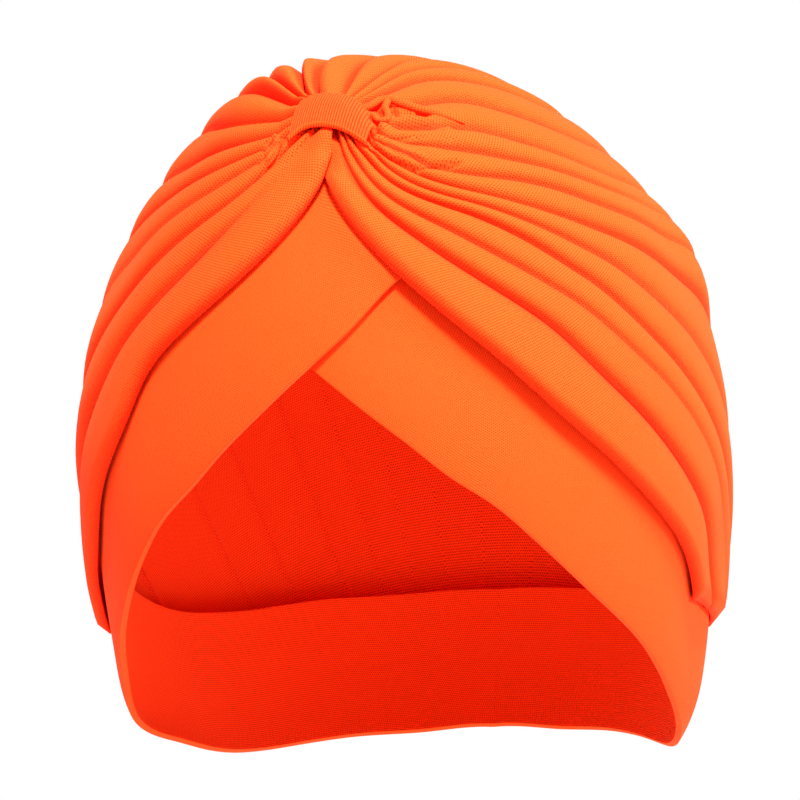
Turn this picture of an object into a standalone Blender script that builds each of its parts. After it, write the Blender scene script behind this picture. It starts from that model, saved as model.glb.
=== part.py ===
"""Turban hat of knitted jersey in its worn form: a pleated crown that a loop gathers above the front,
on two wide bands that cross below the loop and meet at the back. Metres, +Z up, front towards -Y, +X to
the right seen from the front, origin in the middle of the hollow, where the hat is held up."""

import math
from collections import namedtuple

import bpy
import numpy as np

# Outer form of the crown: half axes of a rounded body around the origin, and how square it is.
HALF_BREADTH = 0.088
FRONT_DEPTH = 0.1048
BACK_DEPTH = 0.1192
TOP_HEIGHT = 0.1163
NAPE_DEPTH = 0.1363
ROUNDNESS = 2.04

# Cloth walls and the gaps between the pieces.
CROWN_WALL = 0.0015
BAND_WALL = 0.0018
LOOP_WALL = 0.0016
CLOTH_GAP = 0.0006
LAP_GAP = 0.0008
LOOP_GAP = 0.0010
SEAM_GAP = 0.0008

# Pleats of the crown. A pleat as narrow as FLAT_PLEAT is half as deep as a wide one.
FOLD_DEPTH = 0.0030
FLAT_PLEAT = 0.0025
SHARP_VALLEY = 3
SWELL_RISE = 0.0040

# Each flap's free edge rolls in fully from this angle from the gather on.
ROLL_FROM = 20

# The crown's hem turns in over the last share of each pleat, and hangs lower on the left.
HEM_TURN_IN = 0.07
LEFT_HEM_DROP = 0.0030
HEM_GUESS = 120.0
HEM_TRIALS = 30

# The bands draw in below this height, over this much height.
NECK_DRAW = 0.0025
NECK_TOP = -0.060
NECK_FALL = 0.035

# The loop over the gather: a strip domed along its width, its corners drawn in.
LOOP_WIDTH = 0.0230
LOOP_LENGTH = 0.0172
LOOP_SHIFT = -0.0010
LOOP_RISE = 0.0025
LOOP_SHOULDER = 0.0040
CORNER_DRAW = 0.12
LOOP_SQUARENESS = 8
GATHER_HOLE = 0.0042

# The crown lies flat under the loop out to the first of these multiples of the loop, and is free of it
# past the second.
FLAT_UNDER = 1.25
FREE_PAST = 1.6

# How steeply the gather lies above the origin. All pleats run out from it.
GATHER_SLOPE = math.radians(63)
LOOP_SLOPE = math.radians(62.8)

# One row for each valley between two pleats, from the right flap's edge over the top to the left flap's.
# The first six columns are the valley's turn about the gather in degrees, 0 to the back and 180 to the
# front, at each of FOLD_STATIONS, which are degrees from the gather. depth is a share of FOLD_DEPTH,
# fade the angle from the gather at which the valley is half gone.
Valley = namedtuple("Valley", "loop collar upper middle lower hem depth fade")
FOLD_STATIONS = (8, 16, 26, 42, 65, 108)
VALLEYS = (
    Valley(176, 171, 158, 142, 126, 105, 1.00, 200),
    Valley(163, 156, 143, 126, 113, 95, 1.00, 150),
    Valley(156, 149, 133, 116, 102, 86, 0.70, 75),
    Valley(149, 141, 122, 107, 95, 77, 0.95, 110),
    Valley(143, 135, 116, 98, 83, 63, 0.75, 95),
    Valley(138, 128, 109, 88, 66, 52, 1.00, 100),
    Valley(131, 119, 97, 78, 56, 43, 0.80, 80),
    Valley(121, 100, 86, 70, 49, 36, 0.70, 40),
    Valley(101, 81, 74, 63, 42, 29, 0.90, 75),
    Valley(60, 52, 54, 49, 33, 22, 0.90, 70),
    Valley(32, 29, 37, 35, 24, 15, 0.85, 60),
    Valley(5, 6, 14, 16, 12, 6, 0.90, 50),
    Valley(-22, -16, -8, -4, -3, -3, 0.80, 55),
    Valley(-41, -30, -25, -20, -14, -12, 0.80, 60),
    Valley(-55, -44, -40, -35, -28, -22, 0.80, 65),
    Valley(-70, -64, -57, -50, -42, -34, 0.90, 75),
    Valley(-98, -87, -75, -65, -56, -46, 0.90, 80),
    Valley(-130, -108, -92, -80, -70, -58, 0.85, 85),
    Valley(-144, -123, -109, -94, -82, -71, 0.65, 50),
    Valley(-153, -136, -124, -110, -98, -85, 1.00, 105),
    Valley(-164, -147, -139, -125, -114, -97, 1.00, 130),
    Valley(-178, -174, -160, -140, -131, -109, 1.00, 200),
)

# Sections of a band from its crossed end to the back seam: turn about the gather and angle from it, in
# degrees, of the free lower edge and of the edge that the crown hides.
Section = namedtuple("Section", "rim_turn rim_angle top_turn top_angle")
SECTIONS = (
    Section(209, 28, 199, 12),
    Section(199, 31, 188, 7),
    Section(188, 36, 177, 6),
    Section(180, 40, 167, 10),
    Section(172, 45, 159, 20),
    Section(163, 52, 149, 28),
    Section(156, 59, 141, 35),
    Section(149, 66, 134, 43),
    Section(143, 75, 127, 53),
    Section(136, 87, 120, 65),
    Section(129, 99, 113, 78),
    Section(124, 109, 108, 89),
    Section(119, 119, 103, 99),
    Section(113, 129, 96, 110),
    Section(106, 138, 87, 119),
    Section(96, 145, 76, 126),
    Section(81, 151, 61, 132),
    Section(60, 156, 43, 136),
    Section(32, 160, 23, 139),
    Section(0, 161, 0, 140),
)

# The crown's hem: angle from the gather by turn, the same on both sides but for LEFT_HEM_DROP.
Hem = namedtuple("Hem", "turn angle")
HEM = (
    Hem(0, 146),
    Hem(24, 145),
    Hem(46, 141),
    Hem(66, 136),
    Hem(82, 128),
    Hem(95, 118),
    Hem(104, 110),
    Hem(112, 104),
    Hem(120, 99),
)

# Swellings and flats of the crown: where each is centred, how wide it is in degrees, and its height as a
# share of SWELL_RISE.
Swell = namedtuple("Swell", "turn angle spread rise")
SWELLS = (
    Swell(48, 35, 13, -0.60),
    Swell(56, 69, 7, 0.95),
    Swell(100, 107, 10, -0.70),
    Swell(-38, 24, 10, 0.65),
    Swell(0, 14, 9, -0.50),
    Swell(-77, 25, 6, -0.55),
    Swell(-101, 39, 7, -0.45),
    Swell(-125, 81, 8, -0.30),
    Swell(-116, 119, 9, 1.20),
    Swell(106, 136, 10, 0.60),
)

# The lower band lies a layer deeper up to the first of these sections and is level again at the second.
UNDER_FROM = 6
UNDER_TO = 11

# Facets.
PLEAT_SHARES = (0.0, 0.2, 0.5, 0.8)
CROWN_ROWS = 24
ROW_CROWDING = 1.5
BAND_STEPS = 38
BAND_ROWS = 5
LOOP_STEPS = 12

JERSEY = (0.93, 0.17, 0.03, 1.0)
JERSEY_ROUGHNESS = 0.85

GATHER = np.array((0.0, -math.cos(GATHER_SLOPE), math.sin(GATHER_SLOPE)))
BACKWARD = np.array((0.0, math.sin(GATHER_SLOPE), math.cos(GATHER_SLOPE)))
SIDEWAYS = np.array((1.0, 0.0, 0.0))

# Depth of the bands' outer face below the crown's outer form.
BAND_SINK = FOLD_DEPTH + CROWN_WALL + CLOTH_GAP


def clear_scene():
    for thing in list(bpy.data.objects):
        bpy.data.objects.remove(thing, do_unlink=True)


def ease(value, start, end):
    """0 at start, 1 at end, smooth between."""
    share = np.clip((value - start) / (end - start), 0.0, 1.0)
    return share * share * (3 - 2 * share)


def curve_through(stations, values, place):
    """A smooth curve through the values at the stations, level past both ends."""
    stations = np.asarray(stations, float)
    values = np.asarray(values, float)
    place = np.clip(place, stations[0], stations[-1])
    slopes = np.gradient(values, stations)
    k = np.clip(np.searchsorted(stations, place, side="right") - 1, 0, len(stations) - 2)
    span = stations[k + 1] - stations[k]
    t = (place - stations[k]) / span
    start = values[k] * (1 + 2 * t) * (1 - t) ** 2 + slopes[k] * span * t * (1 - t) ** 2
    end = values[k + 1] * t * t * (3 - 2 * t) + slopes[k + 1] * span * t * t * (t - 1)
    return start + end


def form_radius(way):
    """Distance from the origin to the outer form along unit vectors."""
    depth = np.where(way[..., 1] < 0, FRONT_DEPTH, BACK_DEPTH)
    height = np.where(way[..., 2] > 0, TOP_HEIGHT, NAPE_DEPTH)
    shares = np.abs(way / np.stack((np.full_like(depth, HALF_BREADTH), depth, height), -1))
    return (shares**ROUNDNESS).sum(-1) ** (-1 / ROUNDNESS)


# Distance from the origin to the gather.
GATHER_REACH = float(form_radius(GATHER))


def way_from_gather(turn, angle):
    """Unit vectors at a turn about the gather and an angle from it, both in degrees."""
    turn = np.radians(turn)[..., None]
    angle = np.radians(angle)[..., None]
    return np.cos(angle) * GATHER + np.sin(angle) * (np.cos(turn) * BACKWARD + np.sin(turn) * SIDEWAYS)


def swell_at(way):
    """Height of the swellings and flats along unit vectors."""
    height = 0
    for row in SWELLS:
        middle = way_from_gather(np.array(row.turn), np.array(row.angle))
        away = np.degrees(np.arccos(np.clip(way @ middle, -1, 1))) / row.spread
        height = height + SWELL_RISE * row.rise * np.exp(-away * away / 2)
    return height


def on_form(way, lift):
    """Points at a height above the swollen outer form, along unit vectors."""
    return way * (form_radius(way) + swell_at(way) + lift)[..., None]


def hem_angle_at(turn):
    """Angle from the gather of the crown's hem at a turn of either sign."""
    level = curve_through([row.turn for row in HEM], [row.angle for row in HEM], np.abs(turn))
    return level + np.degrees(LEFT_HEM_DROP / HALF_BREADTH) * ease(-turn, 60, 110)


def add_object(name, points, across, along, wall, collection):
    """A cloth wall from a grid of points of its outer face, thickened inwards."""
    faces = []
    for i in range(across - 1):
        for j in range(along - 1):
            corner = i * along + j
            faces.append((corner, corner + along, corner + along + 1, corner + 1))
    mesh = bpy.data.meshes.new(name)
    mesh.from_pydata(points.reshape(-1, 3).tolist(), [], faces)
    mesh.validate()
    cloth = bpy.data.objects.new(name, mesh)
    collection.objects.link(cloth)
    mesh.shade_smooth()
    thicken = cloth.modifiers.new("wall", "SOLIDIFY")
    thicken.thickness = wall
    thicken.offset = -1
    paint = bpy.data.materials.new(name + "_jersey")
    paint.use_nodes = True
    shader = paint.node_tree.nodes["Principled BSDF"]
    shader.inputs["Base Color"].default_value = JERSEY
    shader.inputs["Roughness"].default_value = JERSEY_ROUGHNESS
    shader.inputs["Metallic"].default_value = 0.0
    mesh.materials.append(paint)
    return cloth


def loop_share(way):
    """How far each unit vector is from the loop's middle: 1 on the loop's edge."""
    forward = np.array((0.0, -math.sin(LOOP_SLOPE), -math.cos(LOOP_SLOPE)))
    side = np.abs(way @ SIDEWAYS * GATHER_REACH - LOOP_SHIFT) / (LOOP_WIDTH / 2)
    length = np.abs(way @ forward * GATHER_REACH) / (LOOP_LENGTH / 2)
    return (side**LOOP_SQUARENESS + length**LOOP_SQUARENESS) ** (1 / LOOP_SQUARENESS)


def loop_lift(way):
    """Height of the loop's outer face above the form: domed, falling at its two open sides."""
    side = np.abs(way @ SIDEWAYS * GATHER_REACH - LOOP_SHIFT) / (LOOP_WIDTH / 2)
    return LOOP_RISE - LOOP_SHOULDER * side**3


def make_crown(collection):
    """The pleated cloth: columns run along the pleats from the gather to the hem, rows across them."""
    columns = []
    last = len(VALLEYS) - 1
    for k in range(last):
        columns += [(k, share) for share in PLEAT_SHARES]
    columns.append((last - 1, 1.0))
    valley = np.array([c[0] for c in columns])[:, None]
    share = np.array([c[1] for c in columns])[:, None]

    def turns_at(angle):
        courses = [curve_through(FOLD_STATIONS, row[:6], angle) for row in VALLEYS]
        courses = np.array(courses)
        column = np.arange(len(columns))[:, None]
        step = np.arange(angle.shape[1])[None, :]
        return courses[valley, column, step], courses[valley + 1, column, step]

    # Each column ends where its course meets the hem.
    hem = np.full((len(columns), 1), HEM_GUESS)
    for _ in range(HEM_TRIALS):
        right, left = turns_at(hem)
        hem = (hem + hem_angle_at(right + (left - right) * share)) / 2
    first = np.degrees(GATHER_HOLE / GATHER_REACH)
    rows = (np.arange(CROWN_ROWS + 1) / CROWN_ROWS) ** ROW_CROWDING
    angle = first + (hem - first) * rows[None, :]
    right, left = turns_at(angle)
    turn = right + (left - right) * share

    # The valley is sharp and the pleat between two valleys is round.
    width = (right - left) * math.pi / 180 * np.sin(np.radians(angle)) * HALF_BREADTH
    depths = np.array([row.depth for row in VALLEYS])
    fades = np.array([row.fade for row in VALLEYS])
    deep = [depths[v] * ease(angle, 1.5 * fades[v], 0.5 * fades[v]) for v in (valley, valley + 1)]
    depth = FOLD_DEPTH * (deep[0] + (deep[1] - deep[0]) * share) * width / (width + FLAT_PLEAT)
    from_edge = np.minimum(np.arange(len(columns)), np.arange(len(columns))[::-1])[:, None]
    rolled = FOLD_DEPTH * ease(angle, 0, ROLL_FROM)
    depth = np.where(from_edge < len(PLEAT_SHARES) / 2, rolled, depth)
    valleys = depth * np.abs(2 * share - 1) ** SHARP_VALLEY

    # The cloth lies flat under the loop and turns in at the hem.
    way = way_from_gather(turn, angle)
    covered = (LOOP_WALL + LOOP_GAP - loop_lift(way)) * ease(loop_share(way), FREE_PAST, FLAT_UNDER)
    tucked = FOLD_DEPTH * ease(rows, 1 - HEM_TURN_IN, 1.0)[None, :]
    lift = -np.maximum(np.maximum(covered, tucked), valleys)
    points = on_form(way, lift)[::-1]
    return add_object("crown", points, *turn.shape, CROWN_WALL, collection)


def make_band(name, side, layer, collection):
    """One wide band from its crossed end to the back seam. side is 1 towards +X and -1 towards -X."""
    number = np.arange(len(SECTIONS))
    place = np.linspace(0, len(SECTIONS) - 1, BAND_STEPS + 1)
    rim_turn, rim_angle, top_turn, top_angle = (
        curve_through(number, [row[i] for row in SECTIONS], place)[:, None] for i in range(4)
    )
    across = np.linspace(0, 1, BAND_ROWS + 1)[None, :]
    turn = side * (rim_turn + (top_turn - rim_turn) * across)
    angle = rim_angle + (top_angle - rim_angle) * across
    under = layer * (BAND_WALL + LAP_GAP) * ease(place, UNDER_TO, UNDER_FROM)[:, None]
    way = way_from_gather(turn, angle)
    points = on_form(way, -BAND_SINK - under)
    draw = NECK_DRAW * ease(points[..., 2], NECK_TOP, NECK_TOP - NECK_FALL)
    points -= way * draw[..., None]
    # The two bands keep the seam's gap between them at the back.
    behind = place[:, None] > len(SECTIONS) / 2
    clear = side * np.maximum(side * points[..., 0], SEAM_GAP / 2)
    points[..., 0] = np.where(behind, clear, points[..., 0])
    if side < 0:
        points = points[::-1]
    return add_object(name, points, *turn.shape, BAND_WALL, collection)


def make_loop(collection):
    """The strip laid over the gather, its corners drawn in."""
    steps = np.linspace(-1, 1, LOOP_STEPS + 1)
    across, along = np.meshgrid(steps, steps, indexing="ij")
    lean = (LOOP_SHIFT + LOOP_WIDTH / 2 * across * (1 - CORNER_DRAW * along**2)) / GATHER_REACH
    slope = LOOP_SLOPE + LOOP_LENGTH / 2 / GATHER_REACH * along * (1 - CORNER_DRAW * across**2)
    way = np.stack((np.sin(lean), -np.cos(lean) * np.cos(slope), np.cos(lean) * np.sin(slope)), -1)
    points = on_form(way, loop_lift(way))
    return add_object("gather_loop", points, *lean.shape, LOOP_WALL, collection)


def main():
    clear_scene()
    hat = bpy.data.collections.new("turban_hat")
    bpy.context.scene.collection.children.link(hat)
    make_crown(hat)
    make_band("band_over", -1, 0, hat)
    make_band("band_under", 1, 1, hat)
    make_loop(hat)


main()
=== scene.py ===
import math

import bpy
import numpy as np
from mathutils import Matrix, Vector


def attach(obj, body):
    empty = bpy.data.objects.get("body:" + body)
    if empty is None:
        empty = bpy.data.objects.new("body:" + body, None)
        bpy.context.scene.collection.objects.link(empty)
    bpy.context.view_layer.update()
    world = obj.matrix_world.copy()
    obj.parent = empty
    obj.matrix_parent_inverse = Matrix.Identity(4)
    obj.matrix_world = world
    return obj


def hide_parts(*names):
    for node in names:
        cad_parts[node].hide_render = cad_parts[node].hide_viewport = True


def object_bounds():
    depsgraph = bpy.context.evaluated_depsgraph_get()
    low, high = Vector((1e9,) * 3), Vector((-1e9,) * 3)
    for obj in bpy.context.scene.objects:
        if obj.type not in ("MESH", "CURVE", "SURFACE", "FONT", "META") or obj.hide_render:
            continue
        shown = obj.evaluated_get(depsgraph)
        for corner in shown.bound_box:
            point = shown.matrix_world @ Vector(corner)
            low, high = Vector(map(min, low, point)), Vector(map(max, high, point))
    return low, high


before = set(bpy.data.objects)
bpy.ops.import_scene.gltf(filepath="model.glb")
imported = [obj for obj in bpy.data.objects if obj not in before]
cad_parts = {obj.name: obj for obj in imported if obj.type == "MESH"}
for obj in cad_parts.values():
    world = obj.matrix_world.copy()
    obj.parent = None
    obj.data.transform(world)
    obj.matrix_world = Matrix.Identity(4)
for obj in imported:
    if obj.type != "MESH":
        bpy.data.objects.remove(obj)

# Turban hat of orange jersey: pleated crown, two crossed bands, ribbed loop over the gather.
# Metres, +Z up, front towards -Y, in the same frame as the solids.

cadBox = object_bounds()

form = {
    "halfBreadth": 0.088,
    "frontDepth": 0.1048,
    "backDepth": 0.1192,
    "topHeight": 0.1163,
    "napeDepth": 0.1363,
    "roundness": 2.04,
    "gatherSlope": 63,  # degrees above the level through the origin
}

# Swellings and flats of the whole form: turn, angle, spread in degrees, rise in mm.
swells = (
    (48, 35, 13, -2.4),
    (56, 69, 7, 3.8),
    (100, 107, 10, -2.8),
    (-38, 24, 10, 2.6),
    (0, 14, 9, -2.0),
    (-77, 25, 6, -2.2),
    (-101, 39, 7, -1.8),
    (-125, 81, 8, -1.2),
    (-116, 119, 9, 4.8),
    (106, 136, 10, 2.4),
)

slope = math.radians(form["gatherSlope"])
gatherWay = np.array((0.0, -math.cos(slope), math.sin(slope)))
backWay = np.array((0.0, math.sin(slope), math.cos(slope)))
sideWay = np.array((1.0, 0.0, 0.0))


def ease(value, start, end):
    share = np.clip((value - start) / (end - start), 0.0, 1.0)
    return share * share * (3 - 2 * share)


def curveThrough(stations, values, place):
    stations = np.asarray(stations, float)
    values = np.asarray(values, float)
    place = np.clip(place, stations[0], stations[-1])
    slopes = np.gradient(values, stations)
    k = np.clip(np.searchsorted(stations, place, side="right") - 1, 0, len(stations) - 2)
    span = stations[k + 1] - stations[k]
    t = (place - stations[k]) / span
    start = values[k] * (1 + 2 * t) * (1 - t) ** 2 + slopes[k] * span * t * (1 - t) ** 2
    end = values[k + 1] * t * t * (3 - 2 * t) + slopes[k + 1] * span * t * t * (t - 1)
    return start + end


def formRadius(way):
    depth = np.where(way[..., 1] < 0, form["frontDepth"], form["backDepth"])
    height = np.where(way[..., 2] > 0, form["topHeight"], form["napeDepth"])
    halves = np.stack((np.full_like(depth, form["halfBreadth"]), depth, height), -1)
    return (np.abs(way / halves) ** form["roundness"]).sum(-1) ** (-1 / form["roundness"])


gatherReach = float(formRadius(gatherWay))
millimetresPerDegree = math.radians(1) * gatherReach * 1000


def wayFromGather(turn, angle):
    turn = np.radians(turn)[..., None]
    angle = np.radians(angle)[..., None]
    return np.cos(angle) * gatherWay + np.sin(angle) * (np.cos(turn) * backWay + np.sin(turn) * sideWay)


def swellAt(way):
    height = 0
    for turn, angle, spread, rise in swells:
        middle = wayFromGather(np.array(turn), np.array(angle))
        away = np.degrees(np.arccos(np.clip(way @ middle, -1, 1))) / spread
        height = height + rise / 1000 * np.exp(-away * away / 2)
    return height


def onForm(way, lift):
    return way * (formRadius(way) + swellAt(way) + lift)[..., None]


def flatPlace(turn, angle):
    # the cloth round the gather laid flat, in mm
    reach = np.radians(angle) * gatherReach * 1000
    return np.stack((reach * np.sin(np.radians(turn)), reach * np.cos(np.radians(turn))), -1)


def awayFromPath(place, path):
    ends = flatPlace(np.array([p[0] for p in path], float), np.array([p[1] for p in path], float))
    nearest = np.full(place.shape[:-1], 1e9)
    for a, b in zip(ends[:-1], ends[1:]):
        run = b - a
        share = np.clip(((place - a) @ run) / (run @ run), 0, 1)
        gap = np.linalg.norm(place - a - share[..., None] * run, axis=-1)
        nearest = np.minimum(nearest, gap)
    return nearest


def selectOnly(piece):
    bpy.ops.object.select_all(action="DESELECT")
    piece.select_set(True)
    bpy.context.view_layer.objects.active = piece


def clothGrid(name, points, place, paintedShade):
    # a grid primitive laid on the given points, with the cloth's own measure as UV in metres
    across, along = points.shape[:2]
    bpy.ops.object.select_all(action="DESELECT")
    bpy.ops.mesh.primitive_grid_add(x_subdivisions=across - 1, y_subdivisions=along - 1, size=2)
    piece = bpy.context.object
    piece.name = name
    mesh = piece.data
    mesh.name = name
    flat = np.empty(len(mesh.vertices) * 3)
    mesh.vertices.foreach_get("co", flat)
    flat = flat.reshape(-1, 3)
    column = np.rint((flat[:, 0] + 1) / 2 * (across - 1)).astype(int)
    row = np.rint((flat[:, 1] + 1) / 2 * (along - 1)).astype(int)
    mesh.vertices.foreach_set("co", points[column, row].ravel())
    # painted shade for each point, kept as an attribute for the finish
    shade = mesh.attributes.new("paintedShade", "FLOAT", "POINT")
    shade.data.foreach_set("value", paintedShade[column, row])
    # each face corner takes the measure of its own face's pleat
    corners = np.empty(len(mesh.loops), int)
    mesh.loops.foreach_get("vertex_index", corners)
    corners = corners.reshape(-1, 4)
    faceColumn = column[corners].min(1)[:, None]
    right = column[corners] > faceColumn
    measure = place[faceColumn, right.astype(int), row[corners]]
    mesh.uv_layers.active.data.foreach_set("uv", measure.reshape(-1))
    mesh.update()
    outward = sum(face.normal.dot(face.center) for face in mesh.polygons)
    if outward < 0:
        selectOnly(piece)
        bpy.ops.object.mode_set(mode="EDIT")
        bpy.ops.mesh.select_all(action="SELECT")
        bpy.ops.mesh.flip_normals()
        bpy.ops.object.mode_set(mode="OBJECT")
    mesh.shade_smooth()
    return piece


def finishWall(piece, wall, rounding=0):
    selectOnly(piece)
    thicken = piece.modifiers.new("wall", "SOLIDIFY")
    thicken.thickness = wall
    thicken.offset = -1
    bpy.ops.object.modifier_apply(modifier="wall")
    if rounding:
        soften = piece.modifiers.new("edge", "BEVEL")
        soften.width = rounding
        soften.segments = 3
        soften.limit_method = "ANGLE"
        soften.angle_limit = math.radians(50)
        bpy.ops.object.modifier_apply(modifier="edge")
    piece.data.shade_smooth()


def measureAlong(points):
    steps = np.linalg.norm(np.diff(points, axis=1), axis=-1)
    return np.concatenate((np.zeros((len(points), 1)), np.cumsum(steps, axis=1)), 1)


def cornerMeasure(first, second):
    # each column of faces takes the measure at its own column of points, then at the next one
    measure = np.zeros((len(first), 2, first.shape[1], 2))
    for side in (0, 1):
        beside = np.minimum(np.arange(len(first)) + side, len(first) - 1)
        measure[:, side, :, 0] = first[beside]
        measure[:, side, :, 1] = second[beside]
    return measure


# Shader nodes with plain arithmetic between them.
class Maths:
    def __init__(self, finish, socket):
        self.finish = finish
        self.socket = socket

    def use(self, operation, *others):
        return self.finish.node("ShaderNodeMath", {"operation": operation}, [self, *others])

    def __add__(self, other):
        return self.use("ADD", other)

    def __sub__(self, other):
        return self.use("SUBTRACT", other)

    def __rsub__(self, other):
        return self * -1 + other

    def __mul__(self, other):
        return self.use("MULTIPLY", other)

    def __truediv__(self, other):
        return self.use("DIVIDE", other)

    def __mod__(self, other):
        return self.use("FLOORED_MODULO", other)

    __radd__ = __add__
    __rmul__ = __mul__


class Finish:
    def __init__(self, name):
        self.material = bpy.data.materials.new(name)
        self.material.use_nodes = True
        self.tree = self.material.node_tree
        self.shader = self.tree.nodes["Principled BSDF"]

    def node(self, kind, settings, sockets, output=0):
        made = self.tree.nodes.new(kind)
        for key, value in settings.items():
            setattr(made, key, value)
        pairs = sockets.items() if isinstance(sockets, dict) else enumerate(sockets)
        for key, value in pairs:
            self.put(made.inputs[key], value)
        return Maths(self, made.outputs[output])

    def mix(self, share, first, second):
        share = self.node("ShaderNodeMath", {"operation": "MAXIMUM", "use_clamp": True}, [share, 0.0])
        settings = {"data_type": "RGBA"}
        return self.node("ShaderNodeMix", settings, {"Factor": share, 6: first, 7: second}, output=2)

    def put(self, socket, value):
        if isinstance(value, Maths):
            self.tree.links.new(value.socket, socket)
        else:
            socket.default_value = value


# The jersey of all pieces, with painted shade that darkens its creases and valleys. Its stitches leave small
# dark holes, in rows that are shifted by half.
jersey = {
    "lit": (0.93, 0.041, 0.0035, 1),
    # painted shade colours: first the creases' shaded sides, then the painted shadow at the bottoms of the
    # sharpest valleys
    "deep": (0.80, 0.015, 0.0015, 1),
    "valley": (0.18, 0.003, 0.0008, 1),
    "hole": (0.42, 0.010, 0.001, 1),
    "deepTo": 0.75,  # share of the painted shade up to which it goes towards the painted shade colour; past it, towards the painted valley shadow
    "holeCore": 0.08,  # share of the pitch
    "holeEdge": 0.4,
    "holeSquash": 1.4,
    "holesLeast": 0.7,
    "holesVaried": 0.6,
    "cloudScale": 60.0,
    "fuzzScale": 1700.0,
    "fuzzHeight": 0.35,
    "grain": 1.5,
    "bump": 0.6,
    "roughness": 0.85,
    "specular": 0.05,
    "sheen": 0.05,
    "sheenRoughness": 0.5,
    "sheenTint": (1.0, 0.42, 0.10, 1),
}


def jerseyFinish(name, knit):
    pitch, rise, holes = knit
    made = Finish(name)
    place = made.node("ShaderNodeUVMap", {"uv_map": "UVMap"}, [])
    parts = made.tree.nodes.new("ShaderNodeSeparateXYZ")
    made.tree.links.new(place.socket, parts.inputs[0])
    u = Maths(made, parts.outputs[0]) / pitch
    v = Maths(made, parts.outputs[1]) / pitch
    course = v.use("FLOOR")
    shifted = u + (course % 2) * 0.5
    dx = (shifted % 1) - 0.5
    dy = (v % 1) - 0.5
    far = (dx * dx + dy * dy * jersey["holeSquash"]).use("SQRT")
    fall = {"From Min": jersey["holeCore"], "From Max": jersey["holeEdge"], "To Min": 1.0, "To Max": 0.0}
    hole = made.node("ShaderNodeMapRange", {"interpolation_type": "SMOOTHSTEP"}, {"Value": far, **fall})
    spot = made.node("ShaderNodeTexCoord", {}, [], output=3)
    clouds = {"Vector": spot, "Scale": jersey["cloudScale"], "Detail": 3.0}
    cloudy = made.node("ShaderNodeTexNoise", {}, clouds)
    fibres = {"Vector": spot, "Scale": jersey["fuzzScale"], "Detail": 2.0}
    fuzz = made.node("ShaderNodeTexNoise", {}, fibres)
    # painted shade from the point attribute: up to its split towards the painted shade colour, past it
    # towards the painted valley shadow
    paintedShade = made.node("ShaderNodeAttribute", {"attribute_name": "paintedShade"}, [], output=2)
    soft = paintedShade.use("MINIMUM", jersey["deepTo"]) / jersey["deepTo"] + (fuzz - 0.5) * jersey["grain"]
    sharp = (paintedShade - jersey["deepTo"]) / (1 - jersey["deepTo"])
    tone = made.mix(soft, jersey["lit"], jersey["deep"])
    tone = made.mix(sharp, tone, jersey["valley"])
    dark = hole * holes * (jersey["holesLeast"] + cloudy * jersey["holesVaried"])
    tone = made.mix(dark, tone, jersey["hole"])
    height = fuzz * jersey["fuzzHeight"] + (1 - hole)
    bump = made.node("ShaderNodeBump", {}, {"Strength": jersey["bump"], "Distance": rise, "Height": height})
    sockets = {
        "Base Color": tone,
        "Roughness": jersey["roughness"],
        "Sheen Weight": jersey["sheen"],
        "Sheen Roughness": jersey["sheenRoughness"],
        "Sheen Tint": jersey["sheenTint"],
        "Specular IOR Level": jersey["specular"],
        "Normal": bump,
    }
    for key, value in sockets.items():
        made.put(made.shader.inputs[key], value)
    return made.material


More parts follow.
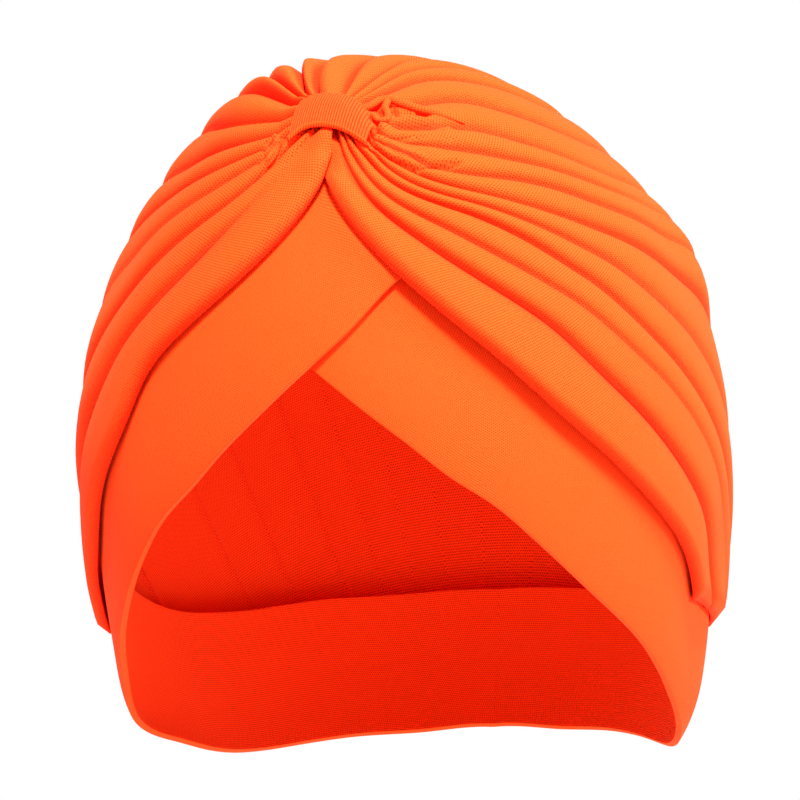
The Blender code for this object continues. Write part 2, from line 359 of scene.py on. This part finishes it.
# The pleated crown. The first and last rows are the free edges of the right and the left flap, and each
# row between them is a valley: its turn about the gather at each station, then its depth in mm there.
stations = (8, 16, 26, 42, 65, 108)  # degrees from the gather
valleys = (
    ((184, 171, 158, 142, 126, 105), (3.0, 3.0, 3.0, 3.0, 3.0, 3.0)),
    ((163, 156, 143, 126, 113, 95), (2.4, 3.2, 3.5, 3.4, 3.2, 2.6)),
    ((156, 149, 133, 116, 102, 86), (2.0, 2.8, 2.8, 2.2, 1.5, 0.4)),
    ((149, 141, 122, 107, 95, 77), (2.4, 3.2, 3.3, 3.2, 2.9, 1.9)),
    ((143, 135, 116, 98, 83, 63), (2.4, 3.0, 2.8, 2.6, 2.2, 1.2)),
    ((138, 128, 109, 88, 66, 52), (3.0, 3.6, 3.5, 3.4, 3.0, 2.0)),
    ((131, 119, 97, 78, 56, 43), (3.0, 3.4, 3.2, 2.4, 1.5, 0.6)),
    ((121, 100, 86, 70, 49, 36), (3.6, 3.5, 3.0, 1.7, 0.6, 0.2)),
    ((101, 81, 74, 63, 42, 29), (4.4, 3.8, 3.0, 2.0, 1.1, 0.6)),
    ((60, 52, 54, 49, 33, 22), (4.8, 4.0, 3.0, 1.9, 1.0, 0.5)),
    ((31, 27, 32, 35, 24, 15), (5.4, 4.6, 2.8, 1.8, 1.0, 0.4)),
    ((22, 18, 19, 24, 17, 10), (5.6, 4.8, 2.4, 1.2, 0.5, 0.1)),
    ((9, 10, 9, 13, 11, 6), (5.6, 5.0, 2.8, 1.8, 1.1, 0.4)),
    ((-2, -3, -2, 2, 3, 1), (6.0, 5.4, 2.6, 1.2, 0.5, 0.1)),
    ((-28, -21, -14, -8, -6, -4), (9.0, 8.4, 3.8, 2.0, 1.1, 0.3)),
    ((-37, -28, -24, -20, -14, -12), (7.0, 6.0, 3.2, 2.0, 1.1, 0.3)),
    ((-43, -39, -35, -31, -24, -19), (6.4, 5.6, 3.2, 2.0, 1.0, 0.3)),
    ((-52, -47, -45, -40, -33, -26), (5.8, 5.2, 3.4, 2.4, 1.4, 0.5)),
    ((-76, -70, -59, -51, -42, -34), (4.8, 4.6, 3.4, 2.6, 1.8, 0.7)),
    ((-102, -88, -76, -65, -56, -46), (4.2, 4.4, 3.6, 2.8, 2.0, 0.9)),
    ((-120, -106, -92, -80, -70, -58), (3.2, 3.6, 3.4, 2.8, 2.0, 0.8)),
    ((-131, -121, -109, -94, -82, -71), (1.8, 2.4, 2.2, 1.4, 0.8, 0.2)),
    ((-141, -136, -124, -110, -98, -85), (3.2, 3.6, 3.6, 3.2, 2.8, 2.0)),
    ((-152, -148, -139, -125, -114, -97), (0.2, 0.8, 2.8, 3.4, 3.1, 2.5)),
    ((-188, -175, -160, -140, -131, -109), (3.0, 3.0, 3.0, 3.0, 3.0, 3.0)),
)

# The crown's hem: turn and angle from the gather.
hem = (
    (0, 146), (24, 145), (46, 141), (66, 136), (82, 128), (95, 118), (104, 110), (112, 104), (120, 99),
)

# Lengths are in metres and angles in degrees, unless a note says otherwise.
crown = {
    "wall": 0.0012,
    "knit": (0.00078, 0.00018, 1.4),  # pitch, relief and share of the holes' colour
    # the grid: faces across a pleat, rows from the gather, and how they crowd towards the gather
    "acrossPleat": 12,
    "rows": 158,
    "crowding": 3.4,
    "evenness": 0.28,
    "hole": 2.2,  # left open at the gather, under the loop
    # the courses are averaged over this reach, more and more between the two angles
    "evening": 20,
    "eveningFrom": 38,
    "eveningTo": 60,
    "eveningSteps": 7,
    # a pleat's section: shares and powers of its round body and of its sharp valley
    "bodyShare": 0.6,
    "fullness": 2.0,
    "sharpness": 7,
    "flatPleat": 0.0012,  # a pleat this narrow is half as deep
    "lean": 0.2,  # how far a pleat's crest lies towards its lower side
    "leanTurn": 25,
    # the flaps' free edges
    "edgeRoll": 0.0032,
    "edgeRollWidth": 0.0024,
    "edgeRollPower": 2.2,
    "edgeRollFrom": 4,
    "edgeRollTo": 24,
    # how far behind the loop a turn is, by its cosine
    "behindFrom": -0.1,
    "behindTo": 0.8,
    # the swollen tufts behind the loop, on the left
    "puff": 0.0028,
    "puffAngle": 17,
    "puffSpread": 8,
    "puffFrom": -15,  # turns to the left
    "puffTo": 30,
    # the pleats' swelling round the loop: how far it reaches, and how much less far behind the loop
    "loopSwell": 0.0012,
    "loopSwellReach": 7,  # mm
    "loopSwellLess": 3,  # mm
    "loopSwellFull": 0.5,  # mm
    # below the loop the left flap laps over the right one
    "lap": 0.0013,
    "lapFrom": 0.1,  # shares of the flap's pleat
    "lapTo": 0.7,
    "sunk": 0.0016,
    "sunkFrom": 0.0045,
    "sunkTo": 0.0015,
    "crossFrom": 13.5,
    "crossTo": 9.5,
    "underFrom": 0.7,  # mm outside the loop's outline where the pleats start to duck under it
    "underTo": -0.2,  # mm
    "smoothing": 0.85,
    # the search for the hem, and how much lower it lies on the left, between two turns
    "hemGuess": 120.0,
    "hemSteps": 30,
    "leftHemDrop": 0.0030,
    "leftHemFrom": 60,
    "leftHemTo": 110,
    # the hem turns in over the last share of the rows
    "turnIn": 0.05,
    "turnInDepth": 0.0034,
    # painted shade in a valley: weights and powers of its soft and sharp parts, and the full depth; then the
    # painted shade on the flaps' rolled free edges
    "softShade": 0.75,
    "softShadePower": 1.5,
    "sharpShadePower": 8,
    "shadeDepth": 0.0026,
    "edgeShade": 0.5,
}

# Crumples of the crown near the loop: height in mm, width in mm, then turns and angles.
crumples = (
    # the grooves beside the twisted roll right of the loop
    (-2.9, 0.7, ((70, 7.6), (82, 8.3), (80, 9.7), (78, 12.2))),
    (-2.1, 0.6, ((66, 6.0), (76, 5.7), (86, 6.2))),
    # the smooth patch under the pocket, its seam and its sharp lower line
    (1.105, 1.3, ((114, 7.4), (98, 8.4), (88, 10.0), (86, 12.4), (86, 15.0))),
    (-1.0, 0.35, ((128, 8.4), (122, 8.9), (113, 10.3), (103, 12.8), (95, 16.4))),
    (-3.4, 0.8, ((108, 6.3), (122, 6.9), (134, 7.8))),
    (-3.4, 0.6, ((134, 7.8), (138, 9.6), (133, 12.2), (129, 13.8), (127, 15.6), (117, 17.0), (109, 18.6))),
    (1.04, 0.9, ((126, 10.4), (123, 12.6), (119, 14.8))),
    # the crumple left of the loop
    (1.3, 0.7, ((-112, 8.4), (-124, 8.5), (-133, 9.6), (-136, 11.2))),
    (-2.1, 0.5, ((-124, 7.2), (-130, 7.9), (-137, 9.8), (-139, 11.6), (-138, 14.4))),
    (-1.6, 0.5, ((-108, 7.0), (-113, 9.8), (-122, 10.6), (-130, 12.4))),
)

# Rolled creases that lie on the crown there: turn, angle, height of the middle and radius in mm.
rolls = (
    (
        (77, 17.5, -1.0, 0.7), (75, 13.5, -0.2, 1.2), (73, 10.8, 0.3, 1.3), (65, 8.9, 0.5, 1.25),
        (57, 7.9, 0.7, 1.15), (55, 6.6, 0.7, 1.1), (60, 5.4, 0.5, 1.1), (70, 3.2, 0.0, 1.0),
    ),
    (
        (50, 8.4, -0.3, 0.6), (60, 7.4, 0.6, 0.95), (73, 6.7, 0.6, 0.95), (88, 7.1, 0.4, 0.9),
        (97, 7.0, 0.2, 0.85), (99, 6.0, 0.2, 0.85), (91, 5.2, 0.3, 0.85), (80, 3.4, 0.0, 0.8),
    ),
    (
        (-108, 7.9, -0.6, 0.7), (-118, 8.2, 0.2, 0.9), (-128, 8.8, 0.2, 0.9), (-135, 10.0, -0.1, 0.8),
        (-137, 12.0, -0.9, 0.7),
    ),
)
# the fifth value is the even painted shade laid over the rolls
rollShape = {"around": 20, "along": 90, "taper": 0.12, "flatness": 0.85, "paintedShade": 0.1, "weld": 0.00001}

# Where the pleats fade out under those crumples: width in mm, then turns and angles.
smoothed = (
    (2.6, ((62, 6.6), (78, 6.8), (92, 6.6))),
    (2.2, ((66, 8.6), (74, 10.6))),
    (2.6, ((122, 9.0), (124, 13.0), (112, 15.0))),
    (1.6, ((-118, 8.6), (-132, 10.0))),
)


def loopSpot(way):
    # how far outside the loop's outline a place is, in mm, then how high the loop stands there
    across = np.degrees(np.arcsin(np.clip(way @ sideWay, -1, 1))) * millimetresPerDegree
    slope = np.degrees(np.arctan2(way[..., 2], -way[..., 1]))
    front = np.interp(across, [p[0] for p in loop["front"]], [p[1] for p in loop["front"]])
    rear = np.interp(across, [p[0] for p in loop["rear"]], [p[1] for p in loop["rear"]])
    outside = np.maximum(front - slope, slope - rear) * millimetresPerDegree
    outside = np.maximum(outside, np.maximum(loop["front"][0][0] - across, across - loop["rear"][-1][0]))
    share = np.clip((slope - front) / np.maximum(rear - front, loop["leastLength"]), 0, 1)
    return outside, loopHeight(across, share)


def loopHeight(across, share):
    fromMiddle = np.abs(across - loop["middle"]) / loop["halfWidth"]
    dome = loop["rise"] - loop["shoulder"] * np.minimum(fromMiddle, loop["shoulderTo"]) ** 3
    return dome - loop["edgeDrop"] * np.abs(2 * share - 1) ** 6 - loop["rearDrop"] * ease(share, 0.5, 1)


def makeRoll(name, spots):
    number = np.arange(len(spots))
    place = np.linspace(0, len(spots) - 1, rollShape["along"] + 1)
    turn, angle, lift, radius = (curveThrough(number, [spot[i] for spot in spots], place) for i in range(4))
    way = wayFromGather(turn, angle)
    middle = onForm(way, lift / 1000)
    run = np.gradient(middle, axis=0)
    run /= np.linalg.norm(run, axis=-1, keepdims=True)
    sideways = np.cross(run, way)
    sideways /= np.linalg.norm(sideways, axis=-1, keepdims=True)
    share = place / place[-1]
    fromEnd = np.clip(np.minimum(share, 1 - share) / rollShape["taper"], 0, 1)
    radius = radius / 1000 * np.sqrt(fromEnd * (2 - fromEnd))
    around = np.linspace(0, 2 * np.pi, rollShape["around"] + 1)[:, None, None]
    outward = np.cos(around) * sideways + np.sin(around) * rollShape["flatness"] * way
    points = middle + radius[:, None] * outward
    size = points.shape[:2]
    girth = np.broadcast_to(around[:, 0] * radius.max(), size)
    length = np.broadcast_to(measureAlong(middle[None]), size)
    piece = clothGrid(name, points, cornerMeasure(girth, length), np.full(size, rollShape["paintedShade"]))
    selectOnly(piece)
    bpy.ops.object.mode_set(mode="EDIT")
    bpy.ops.mesh.select_all(action="SELECT")
    bpy.ops.mesh.remove_doubles(threshold=rollShape["weld"])
    bpy.ops.mesh.normals_make_consistent(inside=False)
    bpy.ops.object.mode_set(mode="OBJECT")
    return piece


def makeCrown():
    last = len(valleys) - 1
    n = crown["acrossPleat"]
    shares = np.arange(n) / n * 0.5 + (1 - np.cos(np.pi * np.arange(n) / n)) * 0.25
    pleat = np.concatenate((np.repeat(np.arange(last), n), [last - 1]))[:, None]
    share = np.concatenate((np.tile(shares, last), [1.0]))[:, None]

    def atPleat(values):
        column = np.arange(len(pleat))[:, None]
        step = np.arange(values.shape[2])[None, :]
        return values[pleat, column, step], values[pleat + 1, column, step]

    def coursesAt(angle):
        reach = crown["evening"] * ease(angle, crown["eveningFrom"], crown["eveningTo"])
        places = [angle + shift * reach for shift in np.linspace(-1, 1, crown["eveningSteps"])]
        return np.array(
            [sum(curveThrough(stations, row[0], place) for place in places) / len(places) for row in valleys]
        )

    # where each column meets the hem is found by steps, since the courses turn on their way down
    end = np.full((len(pleat), 1), crown["hemGuess"])
    for _ in range(crown["hemSteps"]):
        low, high = atPleat(coursesAt(end))
        turn = low + (high - low) * share
        level = curveThrough([h[0] for h in hem], [h[1] for h in hem], np.abs(turn))
        drop = np.degrees(crown["leftHemDrop"] / form["halfBreadth"])
        drop = drop * ease(-turn, crown["leftHemFrom"], crown["leftHemTo"])
        end = (end + level + drop) / 2
    rows = np.linspace(0, 1, crown["rows"] + 1)[None, :]
    rows = crown["evenness"] * rows + (1 - crown["evenness"]) * rows ** crown["crowding"]
    angle = crown["hole"] + (end - crown["hole"]) * rows
    courses = coursesAt(angle)
    low, high = atPleat(courses)
    turn = low + (high - low) * share

    # each pleat is a roll whose crest leans towards its lower side
    perDegree = np.radians(1) * np.sin(np.radians(angle)) * form["halfBreadth"]
    widths = (courses[:-1] - courses[1:]) * perDegree
    width = (low - high) * perDegree
    narrowest = np.minimum(np.concatenate((widths[:1], widths)), np.concatenate((widths, widths[-1:])))
    depths = np.array([curveThrough(stations, row[1], angle) for row in valleys]) / 1000
    depths = depths * narrowest / (narrowest + crown["flatPleat"])
    lowDepth, highDepth = atPleat(depths)
    middle = 0.5 - crown["lean"] * np.tanh(turn / crown["leanTurn"])
    s = np.where(share < middle, 1 - share / middle, (share - middle) / (1 - middle))
    body = crown["bodyShare"]
    roll = body * s ** crown["fullness"] + (1 - body) * s ** crown["sharpness"]
    depth = lowDepth + (highDepth - lowDepth) * share
    valley = depth * roll
    # the flaps' free edges roll in
    fromRight = np.where(pleat == 0, share * width, 1.0)
    fromLeft = np.where(pleat == last - 1, (1 - share) * width, 1.0)
    edge = np.clip(1 - np.minimum(fromRight, fromLeft) / crown["edgeRollWidth"], 0, 1)
    grown = ease(angle, crown["edgeRollFrom"], crown["edgeRollTo"]) ** 0.5
    rolled = crown["edgeRoll"] * edge ** crown["edgeRollPower"] * grown
    upper = np.where(pleat == 0, share > middle, share < middle)
    isEdge = (pleat == 0) | (pleat == last - 1)
    valley = np.where(isEdge, np.where(upper, valley, 0) + rolled, valley)

    crest = np.where(isEdge & ~upper, 1, 1 - roll)
    behind = ease(np.cos(np.radians(turn)), crown["behindFrom"], crown["behindTo"])
    tuft = np.exp(-(((angle - crown["puffAngle"]) / crown["puffSpread"]) ** 2))
    puff = crown["puff"] * behind * ease(-turn, crown["puffFrom"], crown["puffTo"]) * tuft * (1 - roll)

    place = flatPlace(turn, angle)
    for spread, path in smoothed:
        near = np.exp(-((awayFromPath(place, path) / spread) ** 2))
        valley = valley * (1 - crown["smoothing"] * near)
    lift = puff - valley
    way = wayFromGather(turn, angle)
    base = onForm(way, lift)
    for height, spread, path in crumples:
        near = np.exp(-((awayFromPath(place, path) / spread) ** 2))
        lift = lift + height / 1000 * near

    crossing = ease(angle, crown["crossFrom"], crown["crossTo"])
    lapped = ease(share, crown["lapFrom"], crown["lapTo"])
    lift = lift + crown["lap"] * crossing * (pleat == last - 1) * lapped
    sunk = ease(share * width, crown["sunkFrom"], crown["sunkTo"])
    lift = lift - crown["sunk"] * crossing * (pleat == 0) * sunk

    outside, height = loopSpot(way)
    reach = crown["loopSwellReach"] - crown["loopSwellLess"] * behind
    lift = lift + crown["loopSwell"] * ease(outside, reach, crown["loopSwellFull"]) * crest
    under = ease(outside, crown["underFrom"], crown["underTo"])
    lift = lift * (1 - under) + under * np.minimum(lift, height - loop["wall"] - loop["clear"])
    tucked = crown["turnInDepth"] * ease(rows, 1 - crown["turnIn"], 1.0) ** 2
    lift = np.where(tucked > 0, np.minimum(lift, -tucked), lift)
    points = onForm(way, lift)

    # the cloth's own measure: across from each pleat's middle, along from the gather
    crossed = measureAlong(base.transpose(1, 0, 2)).T
    number = pleat[:, 0]
    centre = (crossed[number * n] + crossed[(number + 1) * n]) / 2
    measure = cornerMeasure(crossed, np.radians(angle) * gatherReach)
    measure[..., 0] -= centre[:, None]
    # painted shade, darker towards each valley and on the lower part of the flaps' rolled free edges
    soft = crown["softShade"]
    shade = soft * roll ** crown["softShadePower"] + (1 - soft) * roll ** crown["sharpShadePower"]
    shade = np.clip(shade * np.clip(depth / crown["shadeDepth"], 0, 1), 0, 1)
    edgeShade = crown["edgeShade"] * np.clip(rolled / crown["edgeRoll"], 0, 1)
    shade = np.where(isEdge & ~upper, edgeShade, shade)
    piece = clothGrid("pleated_crown", points, measure, shade)
    finishWall(piece, crown["wall"])
    made = [makeRoll(f"roll_{number}", spots) for number, spots in enumerate(rolls)]
    selectOnly(piece)
    for roll in made:
        roll.select_set(True)
    bpy.ops.object.join()
    return piece


# The crossed bands. One row for each section from the crossed end to the back seam: turn and angle of
# the free lower edge, then of the edge that the crown hides.
sections = (
    (209, 28, 199, 12),
    (199, 31, 188, 7),
    (188, 36, 177, 6),
    (180, 40, 167, 10),
    (172, 45, 159, 20),
    (163, 52, 149, 28),
    (156, 59, 141, 35),
    (149, 66, 134, 43),
    (143, 75, 127, 53),
    (136, 87, 120, 65),
    (129, 99, 113, 78),
    (124, 109, 108, 89),
    (119, 119, 103, 99),
    (113, 129, 96, 110),
    (106, 138, 87, 119),
    (96, 145, 76, 126),
    (81, 151, 61, 132),
    (60, 156, 43, 136),
    (32, 160, 23, 139),
    (0, 161, 0, 140),
)

bands = {
    "wall": 0.0018,
    "knit": (0.00064, 0.00014, 1.3),  # pitch, relief and share of the holes' colour
    "sink": 0.0051,  # below the form that the crown follows
    "lapGap": 0.0008,
    # the band below drops under the other one up to the first section and is back at the second
    "underFrom": 6,
    "underTo": 11,
    "steps": 190,
    "rows": 30,
    "swell": 0.0006,
    "edge": 0.0007,
    # the bands draw in towards the neck below this height
    "neckDraw": 0.0025,
    "neckTop": -0.060,
    "neckFall": 0.035,
    "seamGap": 0.00004,
}


def makeBand(name, side, layer):
    number = np.arange(len(sections))
    place = np.linspace(0, len(sections) - 1, bands["steps"] + 1)
    rimTurn, rimAngle, topTurn, topAngle = (
        curveThrough(number, [row[i] for row in sections], place)[:, None] for i in range(4)
    )
    across = np.linspace(0, 1, bands["rows"] + 1)[None, :]
    turn = side * (rimTurn + (topTurn - rimTurn) * across)
    angle = rimAngle + (topAngle - rimAngle) * across
    under = layer * (bands["wall"] + bands["lapGap"]) * ease(place, bands["underTo"], bands["underFrom"])
    swell = bands["swell"] * (1 - (2 * across - 1) ** 4)
    way = wayFromGather(turn, angle)
    points = onForm(way, swell - bands["sink"] - under[:, None])
    fall = bands["neckTop"] - bands["neckFall"]
    points -= way * (bands["neckDraw"] * ease(points[..., 2], bands["neckTop"], fall))[..., None]
    behind = place[:, None] > len(sections) / 2
    clear = side * np.maximum(side * points[..., 0], bands["seamGap"] / 2)
    points[..., 0] = np.where(behind, clear, points[..., 0])

    along = measureAlong(points.transpose(1, 0, 2)).T
    measure = cornerMeasure(along, measureAlong(points))
    piece = clothGrid(name, points, measure, np.zeros(turn.shape))
    finishWall(piece, bands["wall"], bands["edge"])
    return piece


# The ribbed loop over the gather. Its front and rear edges: mm across, degrees above the level.
loop = {
    "front": ((-9.9, 56.8), (-6.2, 58.3), (-2.1, 58.5), (2.0, 58.0), (6.4, 56.8), (11.0, 55.2)),
    "rear": ((-10.6, 66.9), (-6.8, 67.6), (-2.6, 67.5), (1.8, 66.8), (6.8, 64.3), (11.6, 59.6)),
    "middle": 0.5,  # mm
    "halfWidth": 11.1,  # mm
    "leastLength": 0.5,  # degrees
    # how high it stands over the form, and how far its sides, edges and rear lie below that
    "rise": 0.0034,
    "shoulder": 0.0011,
    "shoulderTo": 1.1,
    "edgeDrop": 0.0004,
    "rearDrop": 0.0009,
    "wall": 0.0010,
    "clear": 0.0003,
    "knit": (0.00036, 0.00003, 0.15),  # pitch, relief and share of the holes' colour
    "ribs": 30,
    "ribHeight": 0.00028,
    "stepsPerRib": 8,
    "rows": 56,
    # the front edge is a raised lip, and both edges turn down
    "lip": 0.00035,
    "lipRow": 0.0006,
    "lipSpread": 0.00035,
    "turnDown": 0.0004,
    "turnDownWidth": 0.0005,
    # painted shade in the ribs' grooves: its least share, its share and power towards the grooves, and how
    # much of it the lip loses
    "grooveLeast": 0.12,
    "grooveShade": 0.75,
    "groovePower": 1.5,
    "lipShade": 0.8,
}


def makeLoop():
    x = np.linspace(0, 1, loop["ribs"] * loop["stepsPerRib"] + 1)[:, None]
    y = np.linspace(0, 1, loop["rows"] + 1)[None, :]
    place = x * (len(loop["front"]) - 1)
    number = np.arange(len(loop["front"]))
    frontAcross, frontSlope, rearAcross, rearSlope = (
        curveThrough(number, [p[i] for p in loop[key]], place) for key in ("front", "rear") for i in (0, 1)
    )
    across = frontAcross + (rearAcross - frontAcross) * y
    slope = np.radians(frontSlope + (rearSlope - frontSlope) * y)
    lean = np.radians(across / millimetresPerDegree)
    way = np.stack((np.sin(lean), -np.cos(lean) * np.cos(slope), np.cos(lean) * np.sin(slope)), -1)
    length = (rearSlope - frontSlope) * millimetresPerDegree / 1000
    fromFront = y * length
    fromEnd = np.minimum(y, 1 - y) * length
    rib = 0.5 - 0.5 * np.cos(2 * np.pi * x * loop["ribs"])
    lip = np.exp(-(((fromFront - loop["lipRow"]) / loop["lipSpread"]) ** 2))
    height = loopHeight(across, y) + loop["ribHeight"] * rib * (1 + lip) + loop["lip"] * lip
    height = height - loop["turnDown"] * np.clip(1 - fromEnd / loop["turnDownWidth"], 0, 1) ** 2
    points = onForm(way, height)
    crossed = measureAlong(points.transpose(1, 0, 2)).T
    measure = cornerMeasure(crossed, measureAlong(points))
    # painted shade, darker towards the ribs' grooves and less of it on the raised lip
    grooveShade = loop["grooveLeast"] + loop["grooveShade"] * (1 - rib) ** loop["groovePower"]
    piece = clothGrid("ribbed_loop", points, measure, grooveShade * (1 - loop["lipShade"] * lip))
    finishWall(piece, loop["wall"])
    return piece


crownPiece = makeCrown()
overPiece = makeBand("front_band_over", -1, 0)
underPiece = makeBand("front_band_under", 1, 1)
loopPiece = makeLoop()
print("cloth pieces made")

finishes = {
    crownPiece: jerseyFinish("crown_jersey", crown["knit"]),
    overPiece: jerseyFinish("band_over_jersey", bands["knit"]),
    underPiece: jerseyFinish("band_under_jersey", bands["knit"]),
    loopPiece: jerseyFinish("loop_jersey", loop["knit"]),
}
for piece, finish in finishes.items():
    piece.data.materials.clear()
    piece.data.materials.append(finish)
    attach(piece, "root")
print("jersey finishes made")

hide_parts("crown")
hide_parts("band_over")
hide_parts("band_under")
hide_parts("gather_loop")

# The stage: a pale floor far below, since the hat stands on nothing, a strong key light from above the
# front, a softer one from the right, and the camera to the front and a little to the right.
stage = {
    "floor": (0.8, 0.8, 0.8, 1),
    "floorRoughness": 0.9,
    "floorDrop": 0.8,
    "floorSize": 3.2,
    "world": 1.0,
    # place, size and power
    "key": ((0.5, -0.9, 1.8), 0.5, 190),
    "rightFill": ((1.6, 0.0, 0.7), 0.8, 70),
    # the camera's turn, rise and roll in degrees, its distance, and where it aims beside the origin
    "turn": 13.9,
    "rise": 6.0,
    "roll": -3.7,
    "away": 1.2,
    "lens": 197.55,
    "sensor": 36,
    "aimAcross": 0.0013895216,
    "aimUp": 0.0180865604,
}


def makeStage():
    bpy.context.scene.view_settings.view_transform = "Standard"
    level = cadBox[0].z - stage["floorDrop"]
    bpy.ops.mesh.primitive_plane_add(size=stage["floorSize"], location=(0, 0, level))
    floor = bpy.context.object
    floor.name = "floor"
    paint = Finish("floor_paint")
    paint.put(paint.shader.inputs["Base Color"], stage["floor"])
    paint.put(paint.shader.inputs["Roughness"], stage["floorRoughness"])
    floor.data.materials.append(paint.material)
    world = bpy.data.worlds.new("studio")
    bpy.context.scene.world = world
    world.use_nodes = True
    sky = world.node_tree.nodes["Background"]
    sky.inputs["Color"].default_value = (1, 1, 1, 1)
    sky.inputs["Strength"].default_value = stage["world"]


def addLight(name, place, size, power):
    light = bpy.data.lights.new(name, "AREA")
    light.shape = "DISK"
    light.size = size
    light.energy = power
    lamp = bpy.data.objects.new(name, light)
    bpy.context.scene.collection.objects.link(lamp)
    lamp.location = place
    lamp.rotation_euler = (-Vector(place)).to_track_quat("-Z", "Y").to_euler()


def makeCamera():
    turn, rise, roll = (math.radians(stage[key]) for key in ("turn", "rise", "roll"))
    back = Vector((math.sin(turn) * math.cos(rise), -math.cos(turn) * math.cos(rise), math.sin(rise)))
    right = Vector((math.cos(turn), math.sin(turn), 0))
    up = back.cross(right)
    right, up = (
        math.cos(roll) * right + math.sin(roll) * up,
        math.cos(roll) * up - math.sin(roll) * right,
    )
    place = back * stage["away"]
    aim = (-back - stage["aimAcross"] * right + stage["aimUp"] * up).normalized()
    right = aim.cross(up).normalized()
    up = right.cross(aim)
    data = bpy.data.cameras.new("camera")
    data.sensor_width = stage["sensor"]
    data.lens = stage["lens"]
    camera = bpy.data.objects.new("camera", data)
    bpy.context.scene.collection.objects.link(camera)
    turned = Matrix((right, up, -aim)).transposed().to_4x4()
    turned.translation = place
    camera.matrix_world = turned
    bpy.context.scene.camera = camera


makeStage()
addLight("key", *stage["key"])
addLight("right_fill", *stage["rightFill"])
makeCamera()
print("stage, lights and camera made")
